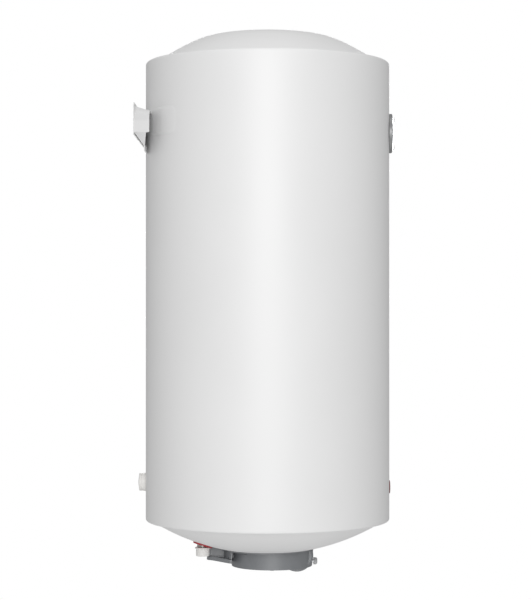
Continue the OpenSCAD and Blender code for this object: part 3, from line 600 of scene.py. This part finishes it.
def knob():
    """Fluted knob, rounded at the front."""
    r = 6.5
    edge = 3.2
    bore = 3.1
    front = 91
    back = front - 7.2
    seat = back + 2.8
    flutes = 12
    profile = [(0, front)] + arc(r - edge, front - edge, edge, 0, 90, 12)
    profile += straight((r, front - edge), (r, back), 4)
    profile += [(bore, back), (bore, seat), (0, seat)]

    def flute(radius, d, a):
        if radius <= r - 1.2:
            return 0
        depth = min(max((front - 2 - d) / 1.5, 0), 1)
        return -0.4 * depth * max(math.cos(flutes * a), 0) ** 3

    piece = lathe("knob_look", profile, to_front(SPINDLE_Z), closed=False, segments=240, wave=flute, sharp=50)
    fit_out(piece, "thermostat_knob")


# ---------------------------------------------------------------- stage, light and camera

def stage():
    """Pale floor, far below the heater."""
    bpy.ops.mesh.primitive_plane_add(size=7, location=(0, AXIS_Y * MM, -4.3))
    floor = bpy.context.object
    floor.name = "floor"
    floor.data.materials.append(surface("floor_paint", grey(0.8), grey(0.82), 0.8, grain=4))


def area_light(name, place, size, power):
    """Square soft light that looks at the middle of the heater."""
    source = bpy.data.lights.new(name, "AREA")
    source.shape = "SQUARE"
    source.size = size
    source.energy = power
    light = bpy.data.objects.new(name, source)
    light.location = place
    aim = Vector((0, AXIS_Y * MM, -0.3)) - Vector(place)
    light.rotation_euler = aim.to_track_quat("-Z", "Y").to_euler()
    bpy.context.scene.collection.objects.link(light)


def lights():
    """Strong light from -X and from +X, and weaker light from all round."""
    axis = AXIS_Y * MM
    area_light("key", (-4.6, axis, 0.68), 1.6, 90)
    area_light("front_fill", (0.4, -4.6, 0.3), 3.0, 2)
    area_light("back_fill", (0.3, 4.2, 0.2), 3.0, 2)
    area_light("right_fill", (4.6, -0.3, 0.4), 2.0, 84)
    area_light("top_fill", (-0.6, -0.3, 3.4), 2.0, 26)
    area_light("low_front", (-4.4, axis, -1.5), 1.2, 18)
    area_light("low_fill", (-1.1, axis, -3.3), 1.8, 13)


def studio():
    """Even pale surroundings, seen as white directly and through the clear lens."""
    world = bpy.data.worlds.new("studio")
    bpy.context.scene.world = world
    world.use_nodes = True
    nodes = world.node_tree.nodes
    links = world.node_tree.links
    ambient = nodes["Background"]
    ambient.inputs["Color"].default_value = (1, 1, 1, 1)
    ambient.inputs["Strength"].default_value = 0.45
    seen = nodes.new("ShaderNodeBackground")
    seen.inputs["Color"].default_value = (1, 1, 1, 1)
    seen.inputs["Strength"].default_value = 1.0
    path = nodes.new("ShaderNodeLightPath")
    direct = nodes.new("ShaderNodeMath")
    direct.operation = "MAXIMUM"
    links.new(path.outputs["Is Camera Ray"], direct.inputs[0])
    links.new(path.outputs["Is Transmission Ray"], direct.inputs[1])
    mix = nodes.new("ShaderNodeMixShader")
    links.new(direct.outputs["Value"], mix.inputs["Fac"])
    links.new(ambient.outputs["Background"], mix.inputs[1])
    links.new(seen.outputs["Background"], mix.inputs[2])
    links.new(mix.outputs["Shader"], nodes["World Output"].inputs["Surface"])


def camera():
    """Long lens at about the height of the heater's middle, nearly square to its side at -X."""
    lens = bpy.data.cameras.new("camera")
    lens.lens = 111.24
    lens.sensor_width = 36
    view = bpy.data.objects.new("camera", lens)
    view.location = (-3.397, AXIS_Y * MM, -0.3334)
    view.rotation_euler = (math.radians(90.235), 0, math.radians(-89.937))
    bpy.context.scene.collection.objects.link(view)
    bpy.context.scene.camera = view
    bpy.context.scene.view_settings.view_transform = "Standard"


jacket()
jacket_seam()
top_cover()
bottom_cover()
strap()
spacer()
gauge_bezel()
gauge_lens()
dial_ticks()
dial_bands()
dial_numbers()
lamp_bezel()
lamp_lens()
pipe("cold_pipe", 1, BOTTOM + 60)
pipe("hot_pipe", -1, TOP - 50)
pipe_cap("cold_cap", 1)
pipe_cap("hot_cap", -1)
knob()
# The bracket's white enamel is darkened here as painted shade.
softened("wall_bracket", 0.6, "bracket_shaded_enamel")
softened("bracket_bolts", 0.4)
softened("terminal_cover", 0.7)
softened("cable_gland", 0.3)
softened("cover_screws", 0.2)

for node, shell in frame["nodes"].items():
    if node not in replaced:
        shell.data.materials.clear()
        shell.data.materials.append(MATERIALS[slot_of[node]])

stage()
lights()
studio()
camera()
